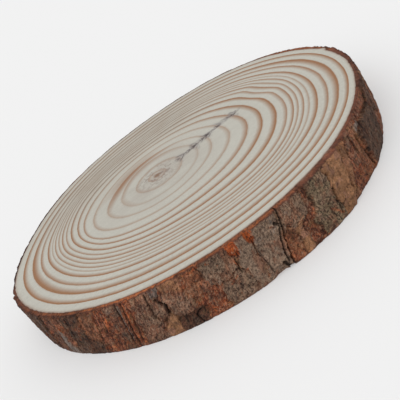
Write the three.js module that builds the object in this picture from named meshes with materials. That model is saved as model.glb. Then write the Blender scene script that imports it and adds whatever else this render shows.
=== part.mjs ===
// Wood slice: one cross-cut of a young pine trunk with its bark left on.
// Millimetres. +Z is up and the lower sawn face lies at z = 0. +X runs along the widest way across.

import * as THREE from 'three';

const sliceRadius = 110;      // mean radius, bark included
const sliceThickness = 27;    // between the two sawn faces
const barkDip = 0.8;          // depth of the bark between its raised plates
const plateLip = 1.2;         // width of the slope at a plate's edge
const columns = 216;          // steps round the trunk
const rows = 8;               // steps from the lower face to the upper one

// A trunk is never quite round: each lobe swells the outline `count` times a turn, first at `turn` degrees.
const trunkLobes = [
  { count: 2, swell: 0.8, turn: -28 },
  { count: 3, swell: 0.8, turn: 55 },
  { count: 4, swell: 0.9, turn: 26 },
  { count: 5, swell: 0.3, turn: -18 },
  { count: 6, swell: 0.5, turn: 4 },
];

// Bark plates. start and end are degrees at the lower face, low and high are shares of the thickness,
// rise is millimetres above the dips, and lean is how far round the top of the plate has slipped.
const barkPlates = [
  { start: 202, end: 215, low: 0.00, high: 1.00, rise: 1.3, lean: 4 },
  { start: 217, end: 225, low: 0.12, high: 1.00, rise: 0.9, lean: 4 },
  { start: 228, end: 237, low: 0.00, high: 0.50, rise: 0.7, lean: 3 },
  { start: 238, end: 246, low: 0.00, high: 0.94, rise: 1.2, lean: 3 },
  { start: 246, end: 250, low: 0.42, high: 0.82, rise: 1.9, lean: 0 },
  { start: 250, end: 257, low: 0.04, high: 0.80, rise: 1.3, lean: -1 },
  { start: 258, end: 262, low: 0.00, high: 0.60, rise: 0.7, lean: 0 },
  { start: 262, end: 269, low: 0.00, high: 1.00, rise: 1.5, lean: -1 },
  { start: 270, end: 277, low: 0.00, high: 1.00, rise: 1.7, lean: 3 },
  { start: 278, end: 286, low: 0.00, high: 0.45, rise: 0.9, lean: 1 },
  { start: 281, end: 288, low: 0.50, high: 1.00, rise: 1.6, lean: 0 },
  { start: 289, end: 295, low: 0.00, high: 1.00, rise: 2.0, lean: 0 },
  { start: 295, end: 300, low: 0.00, high: 1.00, rise: 2.2, lean: 4 },
  { start: 302, end: 310, low: 0.00, high: 0.90, rise: 0.8, lean: 1 },
  { start: 312, end: 330, low: 0.06, high: 0.86, rise: 1.7, lean: 1 },
  { start: 333, end: 342, low: 0.00, high: 1.00, rise: 1.0, lean: -2 },
  { start: 346, end: 363, low: 0.00, high: 1.00, rise: 1.9, lean: 0 },
];

// The rest of the bark, from the last listed plate round to the first, repeats one run of plates.
const plateRun = {
  first: 8,
  last: 200,
  width: 9.6,
  gap: 1.7,
  rises: [0.9, 1.5, 1.1, 1.7, 0.8, 1.3],
  lows: [0.00, 0.10, 0.00, 0.00, 0.22],
  highs: [1.00, 1.00, 0.84, 1.00, 1.00, 0.92, 1.00],
  leans: [2, -1, 3],
};

function repeatedPlates(run) {
  const plates = [];
  let start = run.first;
  while (start + run.width < run.last) {
    const i = plates.length;
    plates.push({
      start,
      end: start + run.width,
      low: run.lows[i % run.lows.length],
      high: run.highs[i % run.highs.length],
      rise: run.rises[i % run.rises.length],
      lean: run.leans[i % run.leans.length],
    });
    start += run.width + run.gap;
  }
  return plates;
}

const allPlates = barkPlates.concat(repeatedPlates(plateRun));

// The trunk's radius, without its plates, in one direction.
function trunkRadius(degrees) {
  let radius = sliceRadius;
  for (const lobe of trunkLobes) {
    radius += lobe.swell * Math.cos(THREE.MathUtils.degToRad(lobe.count * (degrees - lobe.turn)));
  }
  return radius;
}

// How far the bark stands above its dips at a direction and a share of the thickness.
function plateRise(degrees, share) {
  let rise = 0;
  for (const plate of allPlates) {
    const middle = (plate.start + plate.end) / 2 + plate.lean * share;
    const aside = Math.abs(THREE.MathUtils.euclideanModulo(degrees - middle + 180, 360) - 180);
    const toSide = THREE.MathUtils.degToRad((plate.end - plate.start) / 2 - aside) * sliceRadius;
    const toFoot = plate.low > 0 ? (share - plate.low) * sliceThickness : plateLip;
    const toHead = plate.high < 1 ? (plate.high - share) * sliceThickness : plateLip;
    const inside = Math.min(toSide, toFoot, toHead) / plateLip;
    rise = Math.max(rise, plate.rise * THREE.MathUtils.clamp(inside, 0, 1));
  }
  return rise;
}

// A plain cylinder, stood along Z, whose wall is moved out or in to the trunk and its bark.
function sliceGeometry() {
  const geometry = new THREE.CylinderGeometry(1, 1, sliceThickness, columns, rows);
  geometry.rotateX(Math.PI / 2);
  geometry.translate(0, 0, sliceThickness / 2);
  const position = geometry.getAttribute('position');
  for (let i = 0; i < position.count; i += 1) {
    const x = position.getX(i);
    const y = position.getY(i);
    const degrees = THREE.MathUtils.radToDeg(Math.atan2(y, x));
    const share = position.getZ(i) / sliceThickness;
    const radius = trunkRadius(degrees) - barkDip + plateRise(degrees, share);
    position.setXY(i, x * radius, y * radius);
  }
  geometry.computeBoundingBox();
  const middle = geometry.boundingBox.getCenter(new THREE.Vector3());
  geometry.translate(-middle.x, -middle.y, 0);
  geometry.computeVertexNormals();
  return geometry;
}

const woodSlice = new THREE.Mesh(
  sliceGeometry(),
  new THREE.MeshStandardMaterial({ color: 0xc4b8a8, roughness: 0.8, metalness: 0 }),
);
woodSlice.name = 'wood_slice';

const slice = new THREE.Group();
slice.add(woodSlice);

export default slice;
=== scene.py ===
import math
import random

import bpy
import numpy as np
from mathutils import Matrix, Vector, noise


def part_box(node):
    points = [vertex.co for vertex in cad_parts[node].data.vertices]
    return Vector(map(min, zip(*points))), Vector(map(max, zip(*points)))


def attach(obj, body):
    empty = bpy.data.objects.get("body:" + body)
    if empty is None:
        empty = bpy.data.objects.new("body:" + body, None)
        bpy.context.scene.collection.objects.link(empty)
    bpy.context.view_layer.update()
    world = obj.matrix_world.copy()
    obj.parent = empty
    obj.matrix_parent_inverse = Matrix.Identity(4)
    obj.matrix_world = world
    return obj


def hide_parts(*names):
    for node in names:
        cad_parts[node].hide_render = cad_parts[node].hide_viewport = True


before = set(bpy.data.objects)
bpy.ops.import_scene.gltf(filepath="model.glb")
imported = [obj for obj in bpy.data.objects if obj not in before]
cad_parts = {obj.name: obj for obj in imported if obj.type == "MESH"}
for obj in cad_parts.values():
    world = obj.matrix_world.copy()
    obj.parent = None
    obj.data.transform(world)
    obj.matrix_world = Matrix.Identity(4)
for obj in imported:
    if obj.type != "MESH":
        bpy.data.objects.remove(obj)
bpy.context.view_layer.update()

millimetre = 0.001
far = 1e9                # farther than anything in the scene
cadLow, cadHigh = (np.array(corner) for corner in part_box("wood_slice"))
cadMiddle = (cadLow + cadHigh) / 2
sharpAngle = 38          # degrees between two faces that meet at a hard edge
thickness = float(cadHigh[2] - cadLow[2])
tall = thickness / millimetre
print("wood slice: frame loaded, thickness", round(tall, 1), "mm")


# shapes that the wood and the bark share, in millimetres and degrees

trunk = {
    "radius": 110.0,
    "lobes": [(2, 0.8, -28), (3, 0.8, 55), (4, 0.9, 26), (5, 0.3, -18), (6, 0.5, 4)],
    "pith": (-10.1, 3.6),
    # how thick the bark is at the upper sawn face, by direction
    "barkAtRim": [(-180, 1.4), (-174, 1.8), (-168, 2.3), (-155, 2.6), (-140, 2.4), (-115, 2.5),
                  (-96, 2.8), (-84, 3.0), (-72, 3.3), (-61, 2.8), (-50, 2.3), (-36, 2.0), (-20, 1.8),
                  (-12, 2.0), (-5, 2.6), (4, 2.7), (6, 1.0), (9, 2.5), (18, 2.8), (30, 2.5), (34, 1.6),
                  (60, 1.2), (100, 1.2), (116, 1.4), (120, 2.1), (126, 1.4), (145, 1.3), (160, 1.4),
                  (180, 1.4)],
}


def smoothStep(value, low, high):
    share = np.clip((value - low) / (high - low), 0.0, 1.0)
    return share * share * (3.0 - 2.0 * share)


def fade(value, low, high):
    return 1.0 - smoothStep(value, low, high)


def turnBetween(degrees, other):
    return (np.asarray(degrees) - other + 180.0) % 360.0 - 180.0


def alongTurn(table, degrees):
    # a value that is listed by direction
    angles, numbers = zip(*table)
    return np.interp(turnBetween(degrees, 0.0), angles, numbers)


def aroundTrunk(radians, radius):
    return np.stack([np.cos(radians), np.sin(radians)], axis=-1) * radius


def trunkRadius(degrees):
    radius = np.full(np.shape(degrees), trunk["radius"])
    for count, swell, turn in trunk["lobes"]:
        radius = radius + swell * np.cos(np.radians(count * (np.asarray(degrees) - turn)))
    return radius


def barkAtRim(degrees):
    return alongTurn(trunk["barkAtRim"], degrees)


def noiseAt(places, size, octaves=3, shift=0.0, stretch=(1.0, 1.0, 1.0)):
    # one number, about -1 to 1, for each place; size is the width of a patch
    scaled = places * (np.array(stretch) / size) + shift
    return np.array([noise.fractal(Vector(place), 1.0, 2.0, octaves) for place in scaled])


def newPiece(name, places, faces, values, uvs):
    mesh = bpy.data.meshes.new(name)
    moved = places + np.array([trunkShift[0], trunkShift[1], 0.0])
    mesh.from_pydata((moved * millimetre).tolist(), [], faces)
    for key, numbers in values.items():
        numbers = np.asarray(numbers, dtype=np.float32)
        if numbers.ndim == 1:
            mesh.attributes.new(key, "FLOAT", "POINT").data.foreach_set("value", numbers)
        else:
            mesh.attributes.new(key, "FLOAT_VECTOR", "POINT").data.foreach_set("vector", numbers.ravel())
    layer = mesh.uv_layers.new(name="OFBake")
    layer.uv.foreach_set("vector", uvs.astype(np.float32).ravel())
    mesh.shade_smooth()
    mesh.set_sharp_from_angle(angle=math.radians(sharpAngle))
    piece = bpy.data.objects.new(name, mesh)
    bpy.context.collection.objects.link(piece)
    return piece


def gridFaces(rowCount, columnCount):
    # faces of rows of points that run round the trunk, anticlockwise, each row after the one before it
    row, column = np.meshgrid(np.arange(rowCount - 1), np.arange(columnCount), indexing="ij")
    after = (column + 1) % columnCount
    here, above = row * columnCount, (row + 1) * columnCount
    return np.stack([here + column, here + after, above + after, above + column], axis=-1).reshape(-1, 4)


# node helpers

def isSocket(value):
    return isinstance(value, bpy.types.NodeSocket)


def addNode(kind, inputs, **settings):
    # goes into the node tree that its first linked input comes from
    tree = next(value.id_data for value in inputs.values() if isSocket(value))
    node = tree.nodes.new(kind)
    for key, value in settings.items():
        setattr(node, key, value)
    for key, value in inputs.items():
        if isSocket(value):
            tree.links.new(value, node.inputs[key])
        else:
            node.inputs[key].default_value = value
    return node


def attributeOf(tree, name, output="Fac"):
    node = tree.nodes.new("ShaderNodeAttribute")
    node.attribute_name = name
    return node.outputs[output]


def mathOf(operation, first, second=0.0):
    return addNode("ShaderNodeMath", {0: first, 1: second}, operation=operation).outputs[0]


def times(first, second):
    return mathOf("MULTIPLY", first, second)


def plus(first, second):
    return mathOf("ADD", first, second)


def minus(first, second):
    return mathOf("SUBTRACT", first, second)


def swingOf(value, depth):
    # a noise from 0 to 1 as a swing either way
    return times(minus(value, 0.5), depth)


def fromMiddle(value):
    return mathOf("ABSOLUTE", minus(value, 0.5))


def rangeOf(value, low, high, toLow=0.0, toHigh=1.0, curve="SMOOTHSTEP"):
    inputs = {"Value": value, "From Min": low, "From Max": high, "To Min": toLow, "To Max": toHigh}
    return addNode("ShaderNodeMapRange", inputs, interpolation_type=curve).outputs["Result"]


def mixOf(share, first, second):
    colours = [colour if isSocket(colour) else (*colour, 1.0) for colour in (first, second)]
    return addNode("ShaderNodeMix", {0: share, 6: colours[0], 7: colours[1]}, data_type="RGBA").outputs[2]


def noiseOf(vector, scale, detail=3.0, rough=0.55, distortion=0.0):
    inputs = {"Vector": vector, "Scale": scale, "Detail": detail, "Roughness": rough}
    return addNode("ShaderNodeTexNoise", {**inputs, "Distortion": distortion}).outputs["Fac"]


def rampOf(value, stops, curve="LINEAR"):
    # stops are pairs of a position and a colour
    node = addNode("ShaderNodeValToRGB", {"Fac": value})
    ramp = node.color_ramp
    ramp.interpolation = curve
    for index, (position, colour) in enumerate(stops):
        stop = ramp.elements[index] if index < 2 else ramp.elements.new(position)
        stop.position = position
        stop.color = (*colour, 1.0)
    return node.outputs["Color"]


def stretched(vector, scale):
    return addNode("ShaderNodeVectorMath", {0: vector, 1: scale}, operation="MULTIPLY").outputs["Vector"]


def newMaterial(name):
    material = bpy.data.materials.new(name)
    material.use_nodes = True
    return material, material.node_tree.nodes["Principled BSDF"]


def placeIn(tree):
    return tree.nodes.new("ShaderNodeTexCoord").outputs["Object"]


def makeToneGroup():
    # uneven tone and fine speckle, as both raw wood and bark have
    group = bpy.data.node_groups.new("unevenTone", "ShaderNodeTree")
    group.interface.new_socket("Vector", in_out="INPUT", socket_type="NodeSocketVector")
    for key in ("Patch Scale", "Speckle Scale", "Patch Depth", "Speckle Depth"):
        group.interface.new_socket(key, in_out="INPUT", socket_type="NodeSocketFloat")
    for key in ("Tone", "Speckle"):
        group.interface.new_socket(key, in_out="OUTPUT", socket_type="NodeSocketFloat")
    given = group.nodes.new("NodeGroupInput").outputs
    result = group.nodes.new("NodeGroupOutput").inputs
    patch = noiseOf(given["Vector"], given["Patch Scale"], 4.0, 0.6)
    speckle = noiseOf(given["Vector"], given["Speckle Scale"], 2.0, 0.7)
    patchShift = swingOf(patch, given["Patch Depth"])
    speckleShift = swingOf(speckle, given["Speckle Depth"])
    total = plus(plus(patchShift, speckleShift), 1.0)
    group.links.new(total, result["Tone"])
    group.links.new(speckle, result["Speckle"])
    return group


toneGroup = makeToneGroup()


def toneOf(vector, patchScale, patchDepth, speckleScale, speckleDepth):
    node = vector.id_data.nodes.new("ShaderNodeGroup")
    node.node_tree = toneGroup
    for key, value in (("Patch Scale", patchScale), ("Patch Depth", patchDepth),
                       ("Speckle Scale", speckleScale), ("Speckle Depth", speckleDepth)):
        node.inputs[key].default_value = value
    vector.id_data.links.new(vector, node.inputs["Vector"])
    return node.outputs["Tone"], node.outputs["Speckle"]


def shaded(colour, tone):
    return addNode("ShaderNodeVectorMath", {0: colour, "Scale": tone}, operation="SCALE").outputs["Vector"]


def applyTo(shader, colour, roughness, height, surface):
    inputs = {"Height": height, "Strength": surface["bump"], "Distance": surface["bumpDepth"]}
    normal = addNode("ShaderNodeBump", inputs).outputs["Normal"]
    shader.inputs["Specular IOR Level"].default_value = surface["specular"]
    for key, value in (("Base Color", colour), ("Roughness", roughness), ("Normal", normal)):
        shader.id_data.links.new(value, shader.inputs[key])


# sawn wood

sawnWood = {
    "columns": 720,
    # width of each year's growth, from the pith outwards
    "ringWidths": [6.1, 9.9, 10.4, 8.0, 8.8, 8.8, 7.4, 7.3, 5.0, 4.1, 3.0, 3.2, 2.4, 3.8, 5.7, 5.7, 6.0, 4.7],
    # how dark each year's late wood is, and its share of the ring
    "lateDepths": [0.6, 0.5, 0.42, 0.55, 0.62, 0.9, 1.05, 1.1, 0.85,
                   0.95, 0.8, 0.9, 0.6, 1.0, 0.9, 1.05, 1.1, 0.2],
    "lateShares": [0.4, 0.26, 0.18, 0.22, 0.22, 0.26, 0.31, 0.33, 0.34,
                   0.42, 0.42, 0.42, 0.38, 0.46, 0.32, 0.44, 0.34, 0.3],
    # rings pushed outwards: direction, half spread, from and to share of the radius, push
    "pushes": [(-25, 65, 0.26, 0.64, 4.4), (-45, 52, 0.36, 1.04, 3.4), (145, 65, 0.38, 0.9, 6.4),
               (95, 70, 0.1, 0.34, 3.4), (200, 40, 0.6, 1.04, -1.8), (12, 14, 0.54, 0.76, -2.6),
               (-20, 55, 0.78, 1.06, 1.5), (-35, 48, 0.62, 0.82, -2.0), (188, 55, 0.2, 0.56, 3.4)],
    # rings whose late wood is broader in one direction: ring, direction, half spread, extra share of the ring
    "broadBands": [(3, 95, 85, 0.3), (3, 195, 40, 0.1), (16, 195, 45, 0.2), (16, 5, 50, 0.16),
                   (4, 118, 72, 1.35)],
    "heartShift": (-1.5, 1.8),   # the innermost years sit a little off the middle of the others
    "checkTurn": 11.0,           # direction of the short dark check from the pith
    "checkReach": (12.0, 62.0),
    "checkWander": 2.6,
    "checkDepth": 0.45,
    "checkBelow": 0.4,           # share of it that shows on the lower face
    "tanTurn": 103.0,            # direction in which the wood is darker and warmer
    "edgeRoughness": 0.28,
    "rayDrift": 0.012,           # how soon the fine rays change on their way out
    "seed": 3.7,
    "outlineSmoothing": 7.0,     # degrees
    # rows of the upper face: from and to share of the radius, count
    "topRows": [(0.004, 0.1, 9), (0.1, 0.6, 60), (0.6, 1.0, 28)],
    "underRows": 26,
    # places on the texture map
    "mapRadius": 0.2885,
    "mapMiddles": ((0.295, 0.295), (0.705, 0.705)),
    "mapWall": (0.7, 0.29),
    "mapWallLevels": (0.001, 0.006),
}


def woodOutline(degrees):
    # where the wood ends, measured from the middle of the trunk
    return trunkRadius(degrees) - barkAtRim(degrees)


def reachFromPith(degrees, smoothing=0.0):
    # distance from the pith to the wood's edge in each direction
    fine = np.arange(0.0, 360.0, 0.25)
    radius = woodOutline(fine)
    if smoothing > 0:
        aside = turnBetween(fine, 0.0)
        weight = np.exp(-0.5 * (aside / smoothing) ** 2)
        radius = np.fft.irfft(np.fft.rfft(radius) * np.fft.rfft(weight / weight.sum()), len(fine))
    x = radius * np.cos(np.radians(fine)) - trunk["pith"][0]
    y = radius * np.sin(np.radians(fine)) - trunk["pith"][1]
    turn = np.degrees(np.arctan2(y, x)) % 360.0
    order = np.argsort(turn)
    return np.interp(degrees % 360.0, turn[order], np.hypot(x, y)[order], period=360.0)


def ringRadius(share, degrees, reach, smoothReach):
    # the rings follow the outline smoothly, and only the last millimetre follows its nicks
    reach = smoothReach + (reach - smoothReach) * smoothStep(share, 0.975, 1.0)
    radius = share + (reach / trunk["radius"] - 1.0) * smoothStep(share, 0.4, 0.7)
    radius = radius * trunk["radius"]
    free = fade(share, 0.965, 1.0)
    for turn, spread, low, high, push in sawnWood["pushes"]:
        along = np.clip((share - low) / (high - low), 0.0, 1.0)
        aside = np.clip(turnBetween(degrees, turn) / spread, -1.0, 1.0)
        radius = radius + free * push * np.sin(np.pi * along) ** 2 * np.cos(np.pi / 2 * aside) ** 2
    return radius


def checkValues(along, across, upper):
    # the check: a groove that wanders and breaks off, and how far its stain reaches
    low, high = sawnWood["checkReach"]
    near = (along > low - 6) & (along < high + 6) & (np.abs(across) < 9)
    core, stain = np.zeros(len(along)), np.zeros(len(along))
    along, across = along[near], across[near]
    seed = np.full(len(along), sawnWood["seed"])
    line = np.stack([along, 0 * along, seed], axis=1)
    wander = noiseAt(line, 14.0, 2) * sawnWood["checkWander"] + noiseAt(line, 4.0, 2, 5.0)
    broken = smoothStep(noiseAt(line, 5.0, 3, 9.0), -0.25, 0.15)
    uneven = np.clip(noiseAt(np.stack([along, across, seed], axis=1), 3.0, 2, 2.0) + 0.3, 0, 1)
    width = 0.45 + 0.5 * uneven
    inside = smoothStep(along, low, low + 4) * fade(along, high - 5, high)
    core[near] = fade(np.abs(across - wander), width * 0.5, width * 1.6) * inside * broken
    stain[near] = smoothStep(along, low - 2, low + 3) * fade(along, high - 6, high + 1)
    weaker = np.where(upper, 1.0, sawnWood["checkBelow"])
    return core * weaker, stain * weaker


def makeSawnWood():
    columns = sawnWood["columns"]
    degrees = np.arange(columns) * 360.0 / columns
    reach, smoothReach = reachFromPith(degrees), reachFromPith(degrees, sawnWood["outlineSmoothing"])
    topShares = [np.linspace(low, high, count)[:-1] for low, high, count in sawnWood["topRows"]]
    topShares = [*np.concatenate(topShares), 1.0]
    underShares = np.linspace(0.01, 1.0, sawnWood["underRows"])[::-1]
    ringEnds = np.cumsum([0.0] + sawnWood["ringWidths"])
    ringEnds = ringEnds / ringEnds[-1]
    rows, phases, spreads = [], [], []

    def addRow(share, height):
        radius = ringRadius(share, degrees, reach, smoothReach)
        middle = np.array(trunk["pith"]) + np.array(sawnWood["heartShift"]) * fade(share, 0.0, 0.2)
        outline = middle + aroundTrunk(np.radians(degrees), radius[:, None])
        rows.append(np.column_stack([outline, np.full(columns, height)]))
        phase = np.interp(share, ringEnds, np.arange(len(ringEnds)))
        phases.append(np.full(columns, phase))
        spread = np.zeros(columns)
        for ring, turn, width, extra in sawnWood["broadBands"]:
            aside = np.clip(turnBetween(degrees, turn) / width, -1.0, 1.0)
            near = max(0.0, 1.0 - abs(phase - ring + 0.35) / 1.1)
            spread += extra * near * np.cos(np.pi / 2 * aside) ** 2
        spreads.append(spread)

    for share in topShares:
        addRow(share, tall)
    for share in underShares:
        addRow(share, 0.0)
    rowCount = len(rows)
    heart = np.array(trunk["pith"]) + np.array(sawnWood["heartShift"])
    places = np.concatenate(rows + [[[*heart, tall], [*heart, 0.0]]])
    phase = np.concatenate(phases + [np.zeros(2)])
    spread = np.concatenate(spreads + [np.zeros(2)])
    # rows run outwards on top and inwards below, so faces turn the other way round
    faces = gridFaces(rowCount, columns)[:, ::-1]
    column = np.arange(columns)
    after = (column + 1) % columns
    topCentre, lastRow = rowCount * columns, (rowCount - 1) * columns
    fanTop = np.stack([np.full(columns, topCentre), column, after], axis=1)
    fanUnder = np.stack([np.full(columns, topCentre + 1), lastRow + after, lastRow + column], axis=1)
    allFaces = faces.tolist() + fanTop.tolist() + fanUnder.tolist()

    turn = math.radians(sawnWood["checkTurn"])
    fromPith = places[:, :2] - np.array(trunk["pith"])
    along = fromPith @ np.array([math.cos(turn), math.sin(turn)])
    across = fromPith @ np.array([-math.sin(turn), math.cos(turn)])
    upper = places[:, 2] > tall / 2
    core, stain = checkValues(along, across, upper)
    places[:, 2] += np.where(upper, -1.0, 1.0) * core * sawnWood["checkDepth"]

    # a rough edge where the wood meets the bark
    edge = slice((len(topShares) - 1) * columns, (len(topShares) + 1) * columns)
    outward = places[edge, :2] / np.linalg.norm(places[edge, :2], axis=1, keepdims=True)
    places[edge, :2] += outward * (noiseAt(places[edge], 2.2, 3, 1.0) * sawnWood["edgeRoughness"])[:, None]

    turns = np.degrees(np.arctan2(fromPith[:, 1], fromPith[:, 0]))
    tan = fade(np.abs(turnBetween(turns, sawnWood["tanTurn"])), 25, 75) * smoothStep(phase, 4.0, 8.0)
    tan = tan * (1 - 0.5 * smoothStep(phase, 14.0, 17.0))
    distance = np.hypot(fromPith[:, 0], fromPith[:, 1])
    rays = np.column_stack([fromPith / np.maximum(distance, 1)[:, None], distance * sawnWood["rayDrift"]])
    # the lower face has other strands than the upper one
    strands = np.stack([along, across, np.where(upper, 0.0, 50.0)], axis=1)
    values = {"ringPhase": phase, "lateSpread": spread, "checkCore": core, "checkStain": stain,
              "tanZone": tan, "rayPlace": rays, "checkPlace": strands}
    return newPiece("sawn_wood", places, allFaces, values, sawnWoodMap(places, allFaces, len(topShares)))


def sawnWoodMap(places, faces, topRows):
    # the two sawn faces lie side by side as discs on the map, and the hidden wall is a thin band
    columns = sawnWood["columns"]
    reach = trunk["radius"] + 1.0
    wallStart, wallWidth = sawnWood["mapWall"]
    uvs = []
    for index, face in enumerate(faces):
        if len(face) == 4 and index // columns == topRows - 1:
            column = index % columns
            for corner in face:
                u = (column + (corner % columns != column)) / columns
                v = sawnWood["mapWallLevels"][corner // columns != topRows - 1]
                uvs.append((wallStart + wallWidth * u, v))
            continue
        upper = places[face[0], 2] > tall / 2
        centre = sawnWood["mapMiddles"][0 if upper else 1]
        for corner in face:
            x, y = places[corner, :2] / reach * sawnWood["mapRadius"]
            uvs.append((centre[0] + x, centre[1] + (y if upper else -y)))
    return np.array(uvs)


# bark

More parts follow.
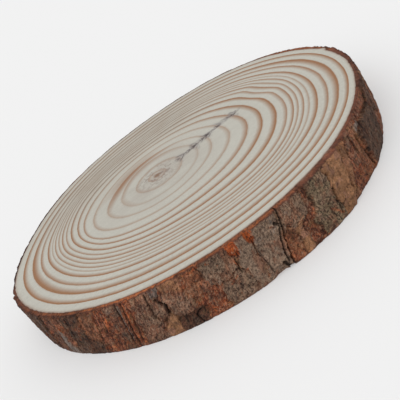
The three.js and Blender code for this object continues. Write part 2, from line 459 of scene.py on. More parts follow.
bark = {
    "columns": 1320,
    "denseTurns": (-176.0, -14.0),     # the columns are twice as close between these directions
    "wallRows": 60,
    "rimRows": 6,
    "dip": 0.9,            # how far the inner bark lies below the trunk's mean outline
    "seed": 21,
    "bigFlake": (6.3, 5.0),
    "fineFlake": (3.1, 2.2),
    "relief": {"bigFlakes": 0.55, "fineFlakes": 0.26, "flakeGaps": 0.16, "lumps": 0.2, "grain": 0.11,
               "fibres": 0.3, "plateEdges": 0.22},
    "wallStart": 0.25,     # distance from the sawn faces to the wall's first and last rows
    "chips": (0.9, 0.35),  # how deep the upper and the lower edge are chipped
    "underWood": 0.6,      # how far the bark reaches in behind the wood's edge
    "thinnest": 0.35,
    "bulge": 1.3,          # of the wall below a thin rim
    "rimWaves": 0.6,
    "mapStrips": 5,        # on the texture map the wall lies in this many level strips
    # plates that face forwards: direction, height share, half width, half height, lean, rise, tone
    "plates": [
        (-170, 0.5, 7.0, 18, 2, 1.2, "dark"), (-160, 0.45, 7.5, 16, 3, 1.1, "dark"),
        (-154.5, 0.6, 4.0, 18, 4, 1.3, "dark"), (-150.0, 0.5, 3.2, 18, 5, 0.8, "umber"),
        (-146.6, 0.2, 1.7, 6, 2, 1.1, "ash"), (-145.0, 0.72, 2.2, 8, 2, 0.9, "red"),
        (-140, 0.55, 5.0, 16, 5, 0.8, "dark"), (-135, 0.62, 4.5, 6, 3, 0.5, "fibre"),
        (-135, 0.15, 4.5, 5, 3, 0.7, "dark"), (-124, 0.92, 3.0, 3, 0, 0.7, "brown"),
        (-129.5, 0.28, 7.0, 7, 3, 0.3, "wine"),
        (-130.0, 0.78, 3.5, 5, 3, 0.4, "rust"), (-124.5, 0.5, 3.0, 9, 3, 0.5, "umber"),
        (-121.5, 0.5, 2.6, 16, 4, 0.5, "rust"), (-116.5, 0.5, 4.8, 16, 3, 1.1, "brown"),
        (-112.2, 0.9, 1.7, 1.8, 0, 0.8, "ash"), (-112.6, 0.6, 2.8, 5, 0, 2.0, "brown"),
        (-112.2, 0.18, 2.0, 6, 0, 0.5, "tan"), (-107.4, 0.58, 5.0, 7, -1, 1.2, "brown"),
        (-107, 0.13, 6.0, 4, 0, 1.0, "dark"), (-106, 0.88, 3.5, 4, -2, 0.5, "pink"),
        (-102.5, 0.72, 2.8, 7, 0, 0.5, "fibre"), (-100.8, 0.25, 4.6, 8, 0, 0.5, "rust"),
        (-95.2, 0.76, 6.0, 8, -1, 1.4, "grey"),
        (-93.5, 0.22, 6.0, 7, 0, 1.0, "grey"), (-88.6, 0.6, 3.6, 13, 1, 1.5, "pale"),
        (-83.9, 0.47, 6.3, 16, 2, 1.7, "pale"), (-75.6, 0.78, 5.4, 7, 0, 1.5, "grey"),
        (-82.6, 0.93, 1.6, 2.0, 0, 0.9, "ash"),
        (-71.8, 0.68, 2.2, 6, -1, 0.8, "red"), (-79.2, 0.2, 4.0, 8, 0, 0.3, "fibre"),
        (-75.7, 0.2, 1.7, 8, 1, 0.7, "tan"), (-73.3, 0.24, 2.0, 6, 0, 0.4, "red"),
        (-68.3, 0.5, 6.6, 16, 0, 1.9, "moss"), (-62.0, 0.5, 5.2, 18, 2, 2.2, "tan"),
        (-58.4, 0.5, 2.4, 14, 4, 2.0, "pink"), (-54.6, 0.5, 4.4, 16, 3, 0.7, "red"),
        (-51.0, 0.4, 2.6, 14, 1, 0.5, "fibre"), (-45.5, 0.9, 0.8, 1.2, -4, 1.0, "ash"),
        (-41.5, 0.42, 11.0, 11.5, -2, 1.7, "slate"), (-44.0, 0.96, 10.0, 2, 0, 0.4, "red"),
        (-32.0, 0.18, 5.0, 6, 0, 0.9, "rust"), (-29.5, 0.66, 6.0, 8, 0, 1.3, "dark"),
        (-23.5, 0.3, 5.0, 9, 2, 1.0, "rust"), (-19.0, 0.62, 6.0, 10, 2, 1.2, "umber"),
        (-12.0, 0.55, 8.0, 14, -2, 1.4, "umber"),
        (-2.0, 0.5, 7.0, 16, 0, 1.5, "rust"),
    ],
    # how far the lower edge of the bark stands out from the trunk's outline, by direction
    "footRise": [(-180, 0.0), (-160, 0.3), (-120, 0.1), (-100, 0.0), (-90, 0.1), (-87.4, -0.3), (-85.8, -1.7),
                 (-83.6, -2.1), (-82.3, 0.2), (-80, 0.7), (-72, 0.9), (-66, 1.3), (-61.6, 1.5), (-60.4, -0.2),
                 (-54, -0.4), (-49.6, -0.3), (-48.8, 0.3), (-30, 0.2), (0, 0.2), (180, 0.0)],
    # how far the fibres lean to the right on their way up, by direction
    "fibreLean": [(-180, 0.25), (-155, 0.45), (-125, 0.4), (-105, 0.3), (-90, 0.15), (-80, 0.25), (-72, 0.0),
                  (-60, -0.1), (-40, -0.15), (0, 0.0), (180, 0.25)],
    # how orange the sawn edge of the bark is, by direction
    "rimOrange": [(-180, 0.1), (-150, 0.5), (-135, 0.8), (-118, 1.0), (-84, 1.0), (-79, 0.55), (-66, 0.3),
                  (-40, 0.15), (0, 0.2), (8, 0.8), (30, 0.8), (60, 0.4), (180, 0.1)],
    # bright inner bark where the edge of a plate has broken away: corners as direction and height share
    "reveals": [
        [(-92.6, 1.02), (-89.4, 1.02), (-89.6, 0.86), (-90.6, 0.74), (-91.8, 0.8)],
        [(-87.6, 1.02), (-85.3, 1.02), (-85.7, 0.9), (-86.5, 0.72), (-87.1, 0.86)],
    ],
    # thin strips lying on the bark: points as direction and height share, half width, rise and tone
    "strips": [
        ([(-79.7, 0.68), (-80.9, 0.44), (-81.4, 0.2)], 0.4, 0.7, "straw"),
        ([(-78.9, 0.62), (-77.2, 0.51), (-74.4, 0.6)], 0.4, 0.5, "straw"),
        ([(-127.2, 0.76), (-128.3, 0.58), (-129.2, 0.48)], 0.6, 0.4, "flame"),
        ([(-121.4, 0.95), (-122.7, 0.6), (-124.3, 0.18)], 0.3, 0.3, "ash"),
        ([(-120.0, 0.9), (-121.4, 0.5), (-122.9, 0.1)], 0.45, 0.3, "flame"),
        ([(-145.8, 0.96), (-146.5, 0.62)], 0.8, 0.3, "brown"),
        ([(-68.0, 0.34), (-65.8, 0.12)], 0.5, 0.2, "fibre"),
        ([(-66.9, 0.46), (-65.2, 0.3)], 0.35, -0.3, "slate"),
        ([(-57.4, 0.74), (-58.5, 0.44), (-60.0, 0.22)], 0.9, 0.3, "pink"),
        ([(-113.9, 0.95), (-114.4, 0.84)], 0.5, 0.2, "straw"),
        ([(-99.4, 0.97), (-101.0, 0.93), (-103.4, 0.95)], 0.6, 0.3, "flame"),
        ([(-92.0, 0.74), (-91.8, 0.58)], 0.3, 0.1, "flame"),
        ([(-95.4, 0.38), (-93.4, 0.46)], 0.5, 0.1, "red"),
        ([(-80.7, 1.0), (-81.0, 0.88)], 0.6, 0.3, "ash"),
        ([(-152.2, 0.98), (-154.6, 0.4), (-155.6, 0.05)], 0.4, 0.3, "ash"),
    ],
    # cracks: points as direction and height share, width and depth
    "cracks": [
        ([(-78.4, 0.99), (-79.0, 0.78), (-79.9, 0.6), (-80.7, 0.38), (-81.1, 0.16), (-81.7, -0.02)],
         0.45, 2.4),
        ([(-79.9, 0.74), (-81.2, 0.52), (-81.9, 0.34), (-82.1, 0.12)], 0.3, 1.8),
        ([(-83.3, 0.17), (-82.7, 0.08), (-82.2, 0.0)], 1.3, 2.4),
        ([(-80.5, 0.84), (-79.9, 0.78)], 1.0, 1.6),
        ([(-111.8, 0.79), (-110.7, 0.66), (-111.0, 0.46)], 0.8, 2.6),
        ([(-49.9, 0.74), (-49.2, 0.4), (-48.4, 0.08)], 0.95, 2.6),
        ([(-55.9, 0.9), (-56.5, 0.62), (-57.5, 0.42), (-58.8, 0.25), (-60.0, 0.08)], 0.4, 1.6),
        ([(-52.7, 0.9), (-52.5, 0.55)], 0.4, 1.2),
        ([(-120.3, 0.96), (-122.4, 0.45), (-123.8, 0.06)], 0.35, 1.0),
        ([(-122.0, 0.96), (-123.2, 0.6), (-124.9, 0.1)], 0.25, 0.8),
        ([(-119.4, 0.8), (-120.9, 0.45), (-122.2, 0.1)], 0.25, 0.6),
        ([(-130.4, 0.85), (-132.2, 0.5), (-133.4, 0.3)], 0.25, 0.7),
        ([(-140.0, 0.9), (-143.0, 0.35)], 0.3, 0.8),
        ([(-104.4, 0.28), (-106.2, 0.22), (-105.6, 0.02)], 0.3, 1.0),
        ([(-113.6, 0.94), (-115.0, 0.45)], 0.4, 1.0),
        ([(-86.6, 0.7), (-86.2, 0.08)], 0.25, 0.6),
        ([(-66.0, 0.1), (-64.8, 0.55)], 0.3, 0.8),
        ([(-91.7, 0.72), (-92.0, 0.46)], 0.35, 0.8),
    ],
}

# how much of each finish a tone has: weathered grey, tan, fresh orange, moss, dark, silvery
tones = {
    "grey": (0.8, 0.0, 0.0, 0.1, 0.06, 0.0), "pale": (1.0, 0.05, 0.0, 0.0, -0.06, 0.1),
    "ash": (1.0, 0.0, 0.0, 0.0, 0.1, 0.8), "moss": (0.8, 0.0, 0.0, 0.75, 0.06, 0.0),
    "tan": (0.0, 1.0, 0.0, 0.0, 0.0, 0.0), "pink": (0.15, 0.7, 0.0, 0.0, 0.04, 0.0),
    "red": (0.08, 0.0, 0.0, 0.0, 0.1, 0.0), "fibre": (0.0, 0.3, 0.1, 0.0, 0.14, 0.0),
    "dark": (0.28, 0.0, 0.0, 0.05, 0.56, 0.0), "rust": (0.0, 0.0, 0.12, 0.0, 0.06, 0.0),
    "umber": (0.2, 0.0, 0.0, 0.0, 0.34, 0.0), "wine": (0.0, 0.0, 0.06, 0.0, 0.16, 0.0),
    "slate": (0.55, 0.0, 0.0, 0.0, 0.6, 0.05),
    "brown": (0.5, 0.0, 0.0, 0.0, 0.03, 0.0), "straw": (0.55, 0.6, 0.0, 0.0, -0.25, 0.2),
    "flame": (0.0, 0.2, 0.55, 0.0, 0.0, 0.0), "bright": (0.0, 0.0, 1.0, 0.0, 0.0, 0.0),
}
# the fifth of these carries the plates' own dark tone together with painted shade
toneKeys = ("greyTone", "tanTone", "freshTone", "mossTone", "darkToneAndShade", "coolTone", "flakeShade")


def allPlates():
    # the rest of the bark, from the right round the back to the left, gets plates by chance
    draw = random.Random(bark["seed"])
    plates = list(bark["plates"])
    turn = 7.0
    while turn < 186.0:
        halfWidth = draw.uniform(5.0, 10.0)
        turn += math.degrees(halfWidth / trunk["radius"])
        count = draw.choice((1, 1, 2, 2, 3))
        for level in range(count):
            middle = (level + 0.5) / count + draw.uniform(-0.08, 0.08)
            tone = draw.choice(("grey", "dark", "red", "grey", "pale", "tan", "red", "moss", "dark"))
            plates.append((turn + draw.uniform(-2, 2), middle, halfWidth * draw.uniform(0.8, 1.1),
                           16.0 / count, draw.uniform(-3, 3), draw.uniform(0.5, 1.8), tone))
        turn += math.degrees(halfWidth / trunk["radius"])
    return plates


def allCracks():
    # the same for cracks, which run mostly with the grain
    draw = random.Random(bark["seed"] + 1)
    cracks = list(bark["cracks"])
    turn = 12.0
    while turn < 175.0:
        top, foot = draw.uniform(0.6, 1.0), draw.uniform(0.0, 0.4)
        lean, bend = draw.uniform(-1.6, 1.6), draw.uniform(-0.6, 0.6)
        points = [(turn, top), (turn + lean / 2 + bend, (top + foot) / 2), (turn + lean, foot)]
        cracks.append((points, draw.uniform(0.5, 0.9), draw.uniform(1.2, 2.4)))
        turn += draw.uniform(5.0, 13.0)
    return cracks


def segmentGap(x, y, start, end):
    acrossX, acrossY = end[0] - start[0], end[1] - start[1]
    x, y = x - start[0], y - start[1]
    along = np.clip((x * acrossX + y * acrossY) / (acrossX * acrossX + acrossY * acrossY), 0, 1)
    return np.hypot(x - along * acrossX, y - along * acrossY)


def lineGap(x, y, points):
    return np.minimum.reduce([segmentGap(x, y, start, end) for start, end in zip(points, points[1:])])


def insidePolygon(x, y, corners):
    # signed distance to a closed outline, above zero inside
    closed = corners + corners[:1]
    gap = lineGap(x, y, closed)
    crossings = np.zeros(len(x), dtype=int)
    for (startX, startY), (endX, endY) in zip(closed, closed[1:]):
        between = (startY > y) != (endY > y)
        level = (endX - startX) * (y - startY) / (endY - startY or 1.0) + startX
        crossings += between & (x < level)
    return np.where(crossings % 2 == 1, gap, -gap)


def nearestOf(count, shapes):
    # which shape is nearest to each place, and how far the place is from the border with the next one
    first, second = np.full(count, far), np.full(count, far)
    nearest = np.zeros(count, dtype=np.int64)
    for key, gap in shapes:
        closer = gap < first
        second = np.where(closer, first, np.minimum(second, gap))
        nearest = np.where(closer, key, nearest)
        first = np.minimum(first, gap)
    return nearest, (second - first) / 2


def smallFlakes(x, z, size, seed):
    # irregular flakes on a loose grid
    cell = np.floor(np.stack([x, z], axis=1) / np.array(size)).astype(int)
    around = int(round(2 * math.pi * trunk["radius"] / size[0]))

    def flakes():
        for stepX in (-1, 0, 1):
            for stepZ in (-1, 0, 1):
                column, row = cell[:, 0] + stepX, cell[:, 1] + stepZ
                key = (column % around) * 7919 + row * 104729 + seed * 15485863
                jitterX = np.sin(key * 12.9898) * 43758.5453 % 1.0
                jitterZ = np.sin(key * 78.233) * 24634.6345 % 1.0
                gapX = x / size[0] - (column + 0.15 + 0.7 * jitterX)
                gapZ = z / size[1] - (row + 0.15 + 0.7 * jitterZ)
                yield key, np.hypot(gapX, gapZ)

    nearest, edge = nearestOf(len(x), flakes())
    return nearest, edge * min(size)


def chanceOf(keys, seed):
    return np.abs(np.sin(keys * 0.7131 + seed * 3.77) * 9631.157) % 1.0


def barkRelief(degrees, height):
    # how far the bark stands out from the trunk's outline at each place on the wall, and its tones
    perDegree = math.radians(1) * trunk["radius"]
    places = np.column_stack([aroundTrunk(np.radians(degrees), trunk["radius"]), height])
    ragX, ragZ = (noiseAt(places, 1.5, 3, shift, (1.0, 1.0, 0.6)) * 0.8 for shift in (7.7, 17.7))
    warpX = noiseAt(places, 9.0, 3, 3.1) * 2.0 + ragX
    warpZ = noiseAt(places, 9.0, 3, 13.1) * 2.4 + ragZ
    plates = allPlates()

    def plateGaps():
        for index, (turn, middle, halfWidth, halfHeight, lean, rise, tone) in enumerate(plates):
            slip = lean * (height / tall - 0.5)
            x = turnBetween(degrees, turn + slip) * perDegree + warpX
            z = height - middle * tall + warpZ
            yield index, (np.hypot(x / halfWidth, z / halfHeight) - 1.0) * min(halfWidth, halfHeight)

    owner, edge = nearestOf(len(degrees), plateGaps())
    rises = np.array([plate[5] for plate in plates])[owner]
    weights = np.array([tones[plate[6]] for plate in plates])[owner]
    loose = smoothStep(rises, 0.4, 0.9)        # fibrous inner bark has no plate on it

    fibre = 1.0 - np.abs(noiseAt(places, 2.4, 3, 21.0, (1.0, 1.0, 0.16))) * 2.0
    lumps = noiseAt(places, 2.6, 4, 31.0)
    grain = noiseAt(places, 1.1, 2, 37.0)
    broad = noiseAt(places, 14.0, 2, 41.0)
    flakeX, flakeZ = degrees * perDegree + warpX * 0.6, height + warpZ * 0.6
    bigKey, bigEdge = smallFlakes(flakeX, flakeZ, bark["bigFlake"], 1)
    fineKey, fineEdge = smallFlakes(flakeX + 50, flakeZ + 20, bark["fineFlake"], 2)
    bigRise, fineRise = chanceOf(bigKey, 1), chanceOf(fineKey, 2)
    gapMask = fade(edge, 0.05, 0.55)
    gapDepth = 0.25 + 0.7 * smoothStep(broad + 0.4 * lumps, 0.0, 0.5)
    relief = rises * (1 - 0.35 * gapMask) - gapMask * gapDepth * 0.6
    rugged = loose * (1 - 0.55 * smoothStep(weights[:, 0], 0.85, 1.0))    # the palest plates are smoothest
    rise = bark["relief"]
    relief = relief + rugged * (rise["bigFlakes"] * (bigRise - 0.5) + rise["fineFlakes"] * (fineRise - 0.5))
    relief = relief - rise["flakeGaps"] * loose * fade(bigEdge, 0.0, 0.35)
    relief = relief + rise["lumps"] * lumps + rise["grain"] * grain + fibre * (rise["fibres"] - 0.2 * loose)
    relief = relief + rise["plateEdges"] * loose * np.exp(-np.maximum(edge - 0.6, 0) / 1.4)

    # flakes have come off the weathered bark here and there, and a few are left on the bare bark
    worn = smoothStep(chanceOf(fineKey, 5) + 0.9 * lumps + 0.9 * (0.5 - np.clip(edge, 0, 1)), 0.95, 1.15)
    grey = weights[:, 0]
    left = smoothStep(chanceOf(bigKey, 7) + 0.5 * lumps, 0.7, 0.85) * (1 - weights[:, 1])
    weights[:, 0] = grey * (1 - 0.8 * worn) + (1 - grey) * 0.5 * left
    weights[:, 1] = np.clip(weights[:, 1] + 0.5 * gapMask * smoothStep(broad, -0.5, 0.2), 0, 1)
    flecks = smoothStep(chanceOf(fineKey, 9) + 0.6 * lumps, 0.88, 1.05) * fade(grey, 0.2, 0.6)
    weights[:, 2] = np.clip(weights[:, 2] + 0.5 * flecks * (1 - weights[:, 1]), 0, 1)
    # painted shade: gaps between plates are darker the deeper they are, and so are low hollows
    dark = gapMask * 0.55 * smoothStep(gapDepth, 0.3, 0.9) + 0.35 * smoothStep(-lumps, 0.25, 0.6)
    # some fine flakes have darker edges
    flakeEdges = fade(fineEdge, 0.0, 0.3) * smoothStep(chanceOf(fineKey, 11), 0.4, 0.8)
    dark = dark + (1 - grey) * 0.45 * flakeEdges

    def onWall(points):
        return [(turn * perDegree, share * tall) for turn, share in points]

    def covered(shown, finish):
        return weights * (1 - shown[:, None]) + shown[:, None] * np.array(finish)

    x = degrees * perDegree + ragX
    z = height + ragZ
    for corners in bark["reveals"]:
        shown = smoothStep(insidePolygon(x, z, onWall(corners)), -0.2, 0.3)
        relief = relief * (1 - shown) + shown * (0.1 + 0.2 * fibre)
        weights = covered(shown, tones["bright"])
        foot, head = (tall * pick(share for turn, share in corners) for pick in (min, max))
        # each reveal is darker towards its foot
        dark = dark * (1 - shown) + shown * 0.55 * fade(z, foot, (foot + head) / 2)
    for points, halfWidth, rise, tone in bark["strips"]:
        gap = lineGap(x - 0.5 * ragX, z - 0.5 * ragZ, onWall(points))
        shown = fade(gap, 0.6 * halfWidth, 0.6 * halfWidth + 0.35)
        relief = relief + shown * rise
        # where a strip lies on top most of the painted shade is taken away
        dark = dark * (1 - 0.8 * shown)
        weights = covered(shown, tones[tone])
    deep = np.zeros(len(degrees))
    for points, width, depth in allCracks():
        gap = lineGap(x - 0.6 * ragX, z - 0.6 * ragZ, onWall(points))
        split = fade(gap, width * 0.45, width * 0.45 + 0.3)
        deep = np.maximum(deep, split * depth)
        # painted shade: cracks are darker the deeper they are
        dark = np.maximum(dark, split * min(1.0, 0.55 + depth / 5))
    # the painted shade is added to the plate's own dark tone
    weights[:, 4] = np.clip(weights[:, 4] + dark, -0.3, 1)
    relief = relief - deep - bark["dip"]
    # the lower edge is sawn straight, so the plates count for less there
    foot = alongTurn(bark["footRise"], degrees) + 0.15 * lumps - 0.6 * deep
    share = 0.9 * fade(height, 0.8, 6.0)
    relief = relief * (1 - share) + foot * share
    return relief, np.column_stack([weights, 0.5 * bigRise + 0.5 * fineRise])


def makeBark():
    global trunkShift
    columns, wallRows, rimRows = bark["columns"], bark["wallRows"], bark["rimRows"]
    fine = np.linspace(-180.0, 180.0, 3601)
    closeness = 1.0 + ((fine > bark["denseTurns"][0]) & (fine < bark["denseTurns"][1]))
    passed = np.concatenate([[0.0], np.cumsum((closeness[1:] + closeness[:-1]) / 2)])
    degrees = np.interp(np.arange(columns) / columns * passed[-1], passed, fine)
    outline, wood = trunkRadius(degrees), woodOutline(degrees)
    ring = aroundTrunk(np.radians(degrees), 1.0)
    heights = np.linspace(tall - bark["wallStart"], bark["wallStart"], wallRows)
    relief, weights = barkRelief(np.tile(degrees, wallRows), np.repeat(heights, columns))
    relief = relief.reshape(wallRows, columns)
    weights = weights.reshape(wallRows, columns, -1)
    thin = smoothStep(barkAtRim(degrees), 0.9, 2.0)
    bulge = (1 - thin) * bark["bulge"] * np.sqrt(np.sin(np.pi * heights / tall))[:, None]
    waves = noiseAt(np.column_stack([ring, 0 * degrees]) * trunk["radius"], 5.0, 3, 81.0)
    farRim = (1 - thin) * (0.35 * (relief + bark["dip"]) - 0.25 + bark["rimWaves"] * waves)
    # below a thin rim the plates stand out again
    below = smoothStep(tall - heights, 0.8, 5.0)[:, None]
    radius = outline + relief * (thin + 0.7 * (1 - thin) * below) + farRim + bulge
    rimPlaces = np.column_stack([ring * trunk["radius"], np.full(columns, tall)])
    for level, most in zip((tall, 0.0), bark["chips"]):
        # the saw leaves a chipped, slightly rounded edge
        chip = 0.25 + most * smoothStep(noiseAt(rimPlaces + level, 4.5, 3, 51.0), 0.05, 0.45)
        depth = np.abs(heights - level)[:, None]
        radius = radius - (0.15 + 0.85 * thin) * chip * np.exp(-depth / (0.5 + 0.6 * chip))
    radius = np.maximum(radius, wood + bark["thinnest"])
    rows, across, cut, toneRows = [], [], [], []

    def addRow(rowRadius, rowHeight, rowAcross, rowCut, rowTones):
        rows.append(np.column_stack([ring * rowRadius[:, None], rowHeight * np.ones(columns)]))
        across.append(rowAcross * np.ones(columns))
        cut.append(rowCut * np.ones(columns))
        toneRows.append(rowTones)

    inner = wood - bark["underWood"]
    rimNoise = noiseAt(rimPlaces, 3.0, 3, 71.0)
    rough = noiseAt(rimPlaces, 1.8, 3, 61.0)

    def addRimRow(step, wallRow, wave):
        # the sawn edge of the bark is a little lower than the wood, and rough
        share = step / rimRows
        ridges = 0.1 + 0.12 * np.clip(rough + 0.3 * math.sin(step * wave), -0.5, 1)
        low = 0.06 + ridges * min(1, share * 3)
        level = low if wallRow else tall - low * (0.15 + 0.85 * thin)
        addRow(inner + (radius[wallRow] - inner) * share, level, share, 1.0, weights[wallRow])

    for step in range(rimRows):
        addRimRow(step, 0, 2.1)
    for row in range(wallRows):
        depth = min(heights[row], tall - heights[row]) - bark["wallStart"]
        reachDown = 0.12 + 1.8 * smoothStep(rimNoise, 0.15, 0.65)
        addRow(radius[row], heights[row], 1.0, 0.9 * np.exp(-depth / reachDown), weights[row])
    for step in reversed(range(rimRows)):
        addRimRow(step, -1, 1.7)
    places = np.concatenate(rows)
    trunkShift = cadMiddle[:2] / millimetre - (places[:, :2].min(axis=0) + places[:, :2].max(axis=0)) / 2
    rowCount = len(rows)
    last = (rowCount - 1) * columns
    column = np.arange(columns)
    after = (column + 1) % columns
    inside = np.stack([last + column, last + after, after, column], axis=1)
    faces = np.concatenate([gridFaces(rowCount, columns), inside])[:, ::-1]
    tonesOut = np.concatenate(toneRows)
    for row in [*range(rimRows), *range(rowCount - rimRows, rowCount)]:
        rimTones = tonesOut[row * columns:(row + 1) * columns]
        rimTones[:, 2] = alongTurn(bark["rimOrange"], degrees)
        # the sawn rim keeps less of the wall's painted shade, and is darker where the bark is thin
        rimTones[:, 4] = np.maximum(rimTones[:, 4] * 0.6, 0.85 * fade(barkAtRim(degrees), 1.3, 2.0))
    values = {key: tonesOut[:, index] for index, key in enumerate(toneKeys)}
    lean = np.tile(alongTurn(bark["fibreLean"], degrees), rowCount) / trunk["radius"]
    turns = np.radians(np.tile(degrees, rowCount)) - lean * (places[:, 2] - tall / 2)
    upright = np.column_stack([aroundTrunk(turns[:, None], trunk["radius"]).reshape(-1, 2), places[:, 2]])
    values["fibrePlace"] = millimetre * upright
    values["rimCut"] = np.concatenate(cut)
    values["rimAcross"] = np.concatenate(across)
    return newPiece("bark", places, faces.tolist(), values, barkMap(places, rowCount, columns))


def barkMap(places, rowCount, columns):
    # the wall and its two rims lie in level strips; the hidden inner wall is a thin band under each
    strips = bark["mapStrips"]
    perStrip = columns // strips
    step = np.linalg.norm(np.diff(places.reshape(rowCount, columns, 3), axis=0), axis=2).mean(axis=1)
    level = np.concatenate([[0.0], np.cumsum(step)])
    level = level / level[-1] * 0.188 + 0.008
    row = np.repeat(np.arange(rowCount), columns)
    column = np.tile(np.arange(columns), rowCount)
    strip = column // perStrip
    left, right = (0.004 + (column - strip * perStrip + side) / perStrip * 0.992 for side in (0, 1))
    outer = row < rowCount - 1
    low = strip / strips + np.where(outer, level[row], 0.001)
    high = strip / strips + np.where(outer, level[np.minimum(row + 1, rowCount - 1)], 0.004)
    # faces were turned round, so the corners come as column, after, after, column from the far row back
    corners = (left, high), (right, high), (right, low), (left, low)
    return np.stack([np.stack(corner, axis=1) for corner in corners], axis=1).reshape(-1, 2)


trunkShift = np.zeros(2)
barkPiece = makeBark()
print("wood slice: bark made,", len(barkPiece.data.polygons), "faces")
woodPiece = makeSawnWood()
print("wood slice: sawn wood made,", len(woodPiece.data.polygons), "faces")


# materials

woodLook = {
    "early": (0.485, 0.468, 0.412),
    "earlyTan": (0.415, 0.362, 0.298),
    "late": (0.285, 0.142, 0.068),
    "lateTan": (0.175, 0.124, 0.09),
    "lateReach": (1.55, 0.3),      # where late wood starts and is full, as shares of its band
    "rimStain": (0.215, 0.125, 0.085),
    "rimStainWidth": 0.24,          # in rings
    "haze": (0.34, 0.285, 0.245),  # round the pith
    "swirl": (0.235, 0.178, 0.152),
    "pith": (0.215, 0.118, 0.07),
    # along the check: grime, ticks, and painted shade in its groove
    "grime": (0.265, 0.24, 0.232),
    "grooveShade": (0.2, 0.145, 0.12),
    "ticks": (0.085, 0.066, 0.064),
    "crackShade": (0.075, 0.062, 0.062),
    "tickSlant": 1.1,
    "specular": 0.25,
    "bump": 0.4,
    "bumpDepth": 0.0002,
}


def lateWoodOf(tree, phase, within):
    # one stop for each year: red is how dark the late wood is, green its share of the ring
    ringCount = len(sawnWood["ringWidths"])
    year = mathOf("DIVIDE", plus(mathOf("FLOOR", phase), 0.5), float(ringCount))
    years = zip(sawnWood["lateDepths"], sawnWood["lateShares"])
    stops = [(index / ringCount, (depth, share, 0.0)) for index, (depth, share) in enumerate(years)]
    table = rampOf(year, stops, "CONSTANT")
    parts = addNode("ShaderNodeSeparateColor", {"Color": table}).outputs
    spread = attributeOf(tree, "lateSpread")
    share = plus(parts["Green"], spread)
    start, full = (minus(1.0, times(share, reach)) for reach in woodLook["lateReach"])
    rising = rangeOf(within, start, full, curve="LINEAR")
    falling = rangeOf(within, 0.93, 1.0, 1.0, 0.0)
    edge = rangeOf(within, 0.0, 0.05, 0.35, 0.0)
    depth = plus(parts["Red"], times(spread, 0.4))
    return times(mathOf("MAXIMUM", times(rising, falling), edge), depth)


def withPith(colour, place, phase, cloud):
    # the pith and the swirl round it
    haze = times(rangeOf(phase, 1.0, 6.0, 0.42, 0.0), rangeOf(cloud, 0.3, 0.62, 0.2, 1.0))
    swirl = rangeOf(noiseOf(place, 240.0, 3.0, 0.6, 2.0), 0.46, 0.6)
    near = rangeOf(phase, 0.6, 2.4, 0.85, 0.0)
    colour = mixOf(haze, colour, woodLook["haze"])
    colour = mixOf(times(near, swirl), colour, woodLook["swirl"])
    return mixOf(rangeOf(phase, 0.12, 0.55, 0.85, 0.0), colour, woodLook["pith"])


def withCheck(tree, colour, within):
    # the check: a broken line with slanting ticks on both sides and painted shade in its groove, darkest
    # where it crosses late wood
    knots = rangeOf(fromMiddle(within), 0.2, 0.44, 0.45, 1.0)
    strandPlace = attributeOf(tree, "checkPlace", "Vector")
    core = attributeOf(tree, "checkCore")
    parts = addNode("ShaderNodeSeparateXYZ", {"Vector": strandPlace}).outputs
    aside = mathOf("ABSOLUTE", parts["Y"])
    chevron = addNode("ShaderNodeCombineXYZ", {
        "X": plus(parts["X"], times(aside, woodLook["tickSlant"])),
        "Y": times(parts["Y"], 0.16), "Z": parts["Z"]}).outputs["Vector"]
    ticks = rangeOf(noiseOf(chevron, 0.6, 3.0, 0.7, 0.5), 0.47, 0.6, 0.0, 0.95)
    blots = noiseOf(strandPlace, 0.11, 2.0, 0.6)
    width = times(rangeOf(blots, 0.38, 0.6, 5.0, 11.0), knots)
    envelope = times(rangeOf(aside, 0.0, width, 1.0, 0.0), attributeOf(tree, "checkStain"))
    smudges = rangeOf(noiseOf(strandPlace, 0.5, 3.0), 0.35, 0.6, 0.25, 0.75)
    for key, share in (("grime", times(envelope, smudges)), ("grooveShade", times(core, 0.45)),
                       ("ticks", times(ticks, envelope)),
                       ("crackShade", times(core, rangeOf(knots, 0.5, 1.0, 0.12, 0.85)))):
        colour = mixOf(share, colour, woodLook[key])
    return colour


def makeWoodMaterial():
    material, shader = newMaterial("sawnPine")
    tree = material.node_tree
    place = placeIn(tree)
    phase = attributeOf(tree, "ringPhase")
    inner = rangeOf(phase, 0.0, 2.6, 0.9, 0.0)
    phase = plus(phase, swingOf(noiseOf(place, 45.0, 3.0), plus(inner, 0.16)))
    phase = plus(phase, swingOf(noiseOf(place, 600.0, 2.0), 0.08))
    within = mathOf("FRACT", phase)
    late = lateWoodOf(tree, phase, within)

    tanZone = attributeOf(tree, "tanZone")
    tone, speckle = toneOf(place, 26.0, 0.1, 1500.0, 0.22)
    rays = noiseOf(attributeOf(tree, "rayPlace", "Vector"), 70.0, 3.0, 0.7)
    sawMarks = noiseOf(stretched(place, (0.04, 1.0, 1.0)), 800.0, 2.0, 0.6)
    cloud = noiseOf(place, 38.0, 3.0)
    tanShare = times(tanZone, rangeOf(cloud, 0.3, 0.7, 0.45, 1.0))
    base = mixOf(tanShare, woodLook["early"], woodLook["earlyTan"])
    flatter = minus(1.0, times(tanZone, 0.15))
    colour = mixOf(times(late, flatter), base,
                   mixOf(tanZone, woodLook["late"], woodLook["lateTan"]))
    rimStart = len(sawnWood["ringWidths"]) - woodLook["rimStainWidth"]
    atRim = rangeOf(phase, rimStart, rimStart + 0.28)
    rimStain = times(atRim, rangeOf(cloud, 0.3, 0.6, 0.35, 0.9))
    colour = mixOf(rimStain, colour, woodLook["rimStain"])
    colour = withPith(colour, place, phase, cloud)
    colour = withCheck(tree, colour, within)

    fine = times(rangeOf(rays, 0.3, 0.7, 0.93, 1.07, "LINEAR"),
                 rangeOf(sawMarks, 0.3, 0.7, 0.97, 1.03, "LINEAR"))
    height = plus(times(sawMarks, 0.6), times(late, 0.08))
    roughness = rangeOf(speckle, 0.2, 0.8, 0.62, 0.82)
    applyTo(shader, shaded(colour, times(tone, fine)), roughness, height, woodLook)
    return material


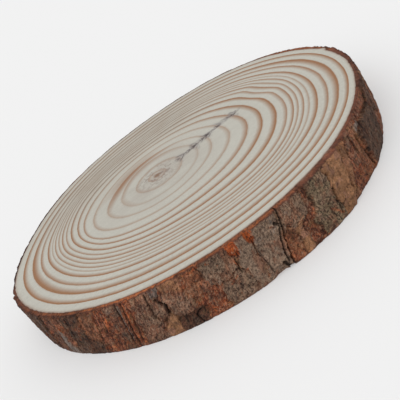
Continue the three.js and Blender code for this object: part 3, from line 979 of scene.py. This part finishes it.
barkLook = {
    # noises: along the leaning fibres or not, stretch, scale, detail and roughness
    "noises": {
        "fibres": (True, (1.0, 1.0, 0.22), 800.0, 4.0, 0.75),
        "crumbs": (True, (1.0, 1.0, 0.55), 1400.0, 3.0, 0.8),
        "patches": (False, (1.0, 1.0, 1.0), 210.0, 4.0, 0.65),
        "hues": (True, (1.0, 1.0, 0.5), 430.0, 3.0, 0.6),
        "streaks": (False, (0.35, 0.35, 1.0), 520.0, 3.0, 0.65),
        "coarse": (False, (1.0, 1.0, 1.0), 700.0, 4.0, 0.75),
        "blotches": (True, (1.0, 1.0, 0.5), 170.0, 4.0, 0.7),
        "grit": (True, (1.0, 1.0, 0.7), 1150.0, 3.0, 0.7),
    },
    # finishes: a noise, two values of it, and the colours there
    "finishes": {
        "red": ("fibres", 0.38, 0.62, (0.07, 0.018, 0.01), (0.275, 0.088, 0.042)),
        "orange": ("fibres", 0.3, 0.7, (0.2, 0.05, 0.015), (0.43, 0.14, 0.046)),
        "ochre": ("crumbs", 0.3, 0.7, (0.1, 0.052, 0.02), (0.28, 0.16, 0.07)),
        "darkRed": ("crumbs", 0.3, 0.7, (0.045, 0.009, 0.005), (0.125, 0.028, 0.016)),
        "grey": ("crumbs", 0.38, 0.62, (0.078, 0.047, 0.032), (0.262, 0.182, 0.126)),
        "cool": ("crumbs", 0.38, 0.62, (0.08, 0.06, 0.05), (0.235, 0.195, 0.168)),
        "warm": ("fibres", 0.35, 0.65, (0.068, 0.026, 0.015), (0.24, 0.11, 0.064)),
        "silver": ("fibres", 0.35, 0.65, (0.06, 0.046, 0.04), (0.225, 0.182, 0.16)),
        "tan": ("fibres", 0.25, 0.75, (0.205, 0.092, 0.042), (0.36, 0.182, 0.092)),
        "fresh": ("fibres", 0.3, 0.7, (0.16, 0.026, 0.008), (0.5, 0.115, 0.026)),
        "moss": ("crumbs", 0.38, 0.62, (0.036, 0.026, 0.015), (0.225, 0.172, 0.1)),
    },
    # plain colours
    "rosy": (0.3, 0.15, 0.11),
    "pits": (0.022, 0.012, 0.008),
    "paleGrit": (0.33, 0.2, 0.125),
    "lines": (0.028, 0.014, 0.01),
    "rimPatches": (0.08, 0.026, 0.014),
    # spots of one finish on another: a noise, two values of it, and the share of the spots
    "spots": [
        ("red", "orange", "patches", 0.53, 0.63, 0.5), ("red", "ochre", "hues", 0.55, 0.64, 0.6),
        ("red", "darkRed", "streaks", 0.54, 0.64, 0.8), ("grey", "cool", "patches", 0.56, 0.66, 0.6),
        ("grey", "warm", "blotches", 0.51, 0.61, 0.85), ("tan", "rosy", "patches", 0.52, 0.62, 0.5),
    ],
    # the sawn edge from the wood outwards, where it is old and where it is fresh
    "rims": [
        [(0.0, (0.235, 0.145, 0.105)), (0.3, (0.15, 0.066, 0.044)), (0.6, (0.13, 0.048, 0.031)),
         (1.0, (0.1, 0.038, 0.025))],
        [(0.0, (0.25, 0.14, 0.088)), (0.28, (0.23, 0.076, 0.034)), (0.55, (0.43, 0.13, 0.04)),
         (1.0, (0.23, 0.076, 0.032))],
    ],
    "specular": 0.2,
    "bump": 0.8,
    "bumpDepth": 0.0006,
}


def barkFinishes(noises):
    finishes = {"rosy": barkLook["rosy"]}
    for key, (kind, low, high, first, second) in barkLook["finishes"].items():
        finishes[key] = mixOf(rangeOf(noises[kind], low, high), first, second)
    for key, other, kind, low, high, share in barkLook["spots"]:
        spots = rangeOf(noises[kind], low, high, 0.0, share)
        finishes[key] = mixOf(spots, finishes[key], finishes[other])
    return finishes


def makeBarkMaterial():
    material, shader = newMaterial("pineBark")
    tree = material.node_tree
    place = placeIn(tree)
    grain = attributeOf(tree, "fibrePlace", "Vector")
    noises = {}
    for key, (leaning, stretch, scale, detail, rough) in barkLook["noises"].items():
        noises[key] = noiseOf(stretched(grain if leaning else place, stretch), scale, detail, rough)
    finishes = barkFinishes(noises)
    greyTone, tanTone, freshTone, mossTone, darkToneAndShade, coolTone, flakeShade = (
        attributeOf(tree, key) for key in toneKeys)
    mossy = times(mossTone, rangeOf(noises["patches"], 0.36, 0.54))
    colour = mixOf(greyTone, finishes["red"], mixOf(coolTone, finishes["grey"], finishes["silver"]))
    for share, key in ((tanTone, "tan"), (mossy, "moss"), (freshTone, "fresh")):
        colour = mixOf(share, colour, finishes[key])
    # dark pits and pale grit all over, and less of them on smooth bark
    tanSmooth = rangeOf(tanTone, 0.3, 1.0, 1.0, 0.45)
    smooth = times(tanSmooth, rangeOf(greyTone, 0.85, 1.0, 1.0, 0.6))
    for key, low, high, share in (("pits", 0.56, 0.61, 0.85), ("paleGrit", 0.44, 0.38, 0.6)):
        spots = rangeOf(noises["grit"], low, high, 0.0, share)
        colour = mixOf(times(spots, smooth), colour, barkLook[key])
    # thin dark lines where one layer of bark ends on the next, mostly on the bare red bark
    squiggles = fromMiddle(noiseOf(grain, 260.0, 3.0, 0.6, 1.2))
    lines = times(rangeOf(squiggles, 0.004, 0.022, 1.0, 0.0),
                  rangeOf(greyTone, 0.3, 0.9, 0.65, 0.2))
    colour = mixOf(lines, colour, barkLook["lines"])

    across = plus(attributeOf(tree, "rimAcross"), swingOf(noises["hues"], 0.9))
    old, fresh = (rampOf(across, stops) for stops in barkLook["rims"])
    freshShare = times(freshTone, rangeOf(noises["patches"], 0.4, 0.56, 0.5, 1.0))
    rimPatches = rangeOf(noises["coarse"], 0.5, 0.6, 0.0, 0.75)
    rimColour = mixOf(rimPatches, mixOf(freshShare, old, fresh), barkLook["rimPatches"])
    colour = mixOf(attributeOf(tree, "rimCut"), colour, rimColour)

    tone = toneOf(place, 95.0, 0.8, 1600.0, 1.3)[0]
    evenTone = plus(times(minus(tone, 1.0), tanSmooth), 1.0)
    # the plates' own dark tone and the painted shade of gaps, hollows and cracks darken the colour; the
    # palest plates and strips are lightened
    toneAndShadeFactor = rangeOf(darkToneAndShade, -0.3, 1.0, 1.26, 0.14, "LINEAR")
    # painted shade: flakes that stand out further are lighter and lower ones darker, less so on grey bark;
    # where the bark has no raised flakes it is a random tone
    flake = plus(swingOf(flakeShade, rangeOf(greyTone, 0.5, 1.0, 0.7, 0.3)), 1.0)
    colour = shaded(colour, times(times(evenTone, toneAndShadeFactor), flake))
    height = plus(times(noises["crumbs"], 0.7), times(noises["fibres"], 0.6))
    roughness = rangeOf(noises["crumbs"], 0.2, 0.8, 0.78, 0.95)
    applyTo(shader, colour, roughness, height, barkLook)
    return material


woodPiece.data.materials.append(makeWoodMaterial())
barkPiece.data.materials.append(makeBarkMaterial())
for piece, slotName in ((woodPiece, "sawn_wood"), (barkPiece, "bark")):
    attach(piece, "root")
    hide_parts("wood_slice")
print("wood slice: materials made")


# floor, light and camera

white = (1.0, 1.0, 1.0, 1.0)

studio = {
    "floorSize": 40.0,
    "floorColour": (0.62, 0.62, 0.62, 1.0),
    "floorRoughness": 0.9,
    "floorGlow": 0.245,          # keeps the shadow pale
    "skyLight": 0.8,
    "keyStrength": 0.98,
    "keySpread": 75.0,
    "keyFrom": (-0.25, -0.75, 0.9),
}

view = {
    "elevation": 24.03,
    "roll": 36.26,
    "distance": 3.21,       # from the point looked at, in trunk radii
    "lookAt": (-0.002, -0.244),
    "lens": 60.44,
    "sensor": 36.0,
}


def makeStudio():
    half = studio["floorSize"] / 2
    mesh = bpy.data.meshes.new("floor")
    corners = [(-half, -half, 0), (half, -half, 0), (half, half, 0), (-half, half, 0)]
    mesh.from_pydata(corners, [], [(0, 1, 2, 3)])
    floor = bpy.data.objects.new("floor", mesh)
    bpy.context.collection.objects.link(floor)
    material, shader = newMaterial("paleFloor")
    shader.inputs["Base Color"].default_value = studio["floorColour"]
    shader.inputs["Roughness"].default_value = studio["floorRoughness"]
    shader.inputs["Specular IOR Level"].default_value = 0.0
    shader.inputs["Emission Color"].default_value = white
    shader.inputs["Emission Strength"].default_value = studio["floorGlow"]
    mesh.materials.append(material)
    world = bpy.data.worlds.new("paleSky")
    bpy.context.scene.world = world
    world.use_nodes = True
    background = world.node_tree.nodes["Background"]
    background.inputs["Color"].default_value = white
    background.inputs["Strength"].default_value = studio["skyLight"]
    lamp = bpy.data.lights.new("softKey", "SUN")
    lamp.energy = studio["keyStrength"]
    lamp.angle = math.radians(studio["keySpread"])
    key = bpy.data.objects.new("softKey", lamp)
    key.rotation_euler = (-Vector(studio["keyFrom"])).to_track_quat("-Z", "Y").to_euler()
    bpy.context.collection.objects.link(key)


def makeCamera():
    radius = trunk["radius"] * millimetre
    across, along = np.array(view["lookAt"]) * radius + trunkShift * millimetre
    target = Vector((across, along, thickness / 2))
    lift, roll = math.radians(view["elevation"]), math.radians(view["roll"])
    back = Vector((0.0, -math.cos(lift), math.sin(lift)))
    right = Vector((1.0, 0.0, 0.0))
    up = back.cross(right)
    turnedRight = math.cos(roll) * right - math.sin(roll) * up
    turnedUp = math.sin(roll) * right + math.cos(roll) * up
    data = bpy.data.cameras.new("camera")
    data.lens = view["lens"]
    data.sensor_width = view["sensor"]
    camera = bpy.data.objects.new("camera", data)
    place = Matrix((turnedRight, turnedUp, back)).transposed().to_4x4()
    place.translation = target + back * view["distance"] * radius
    camera.matrix_world = place
    bpy.context.collection.objects.link(camera)
    bpy.context.scene.camera = camera


makeStudio()
makeCamera()
bpy.context.scene.view_settings.view_transform = "Standard"
print("wood slice: floor, light and camera made")
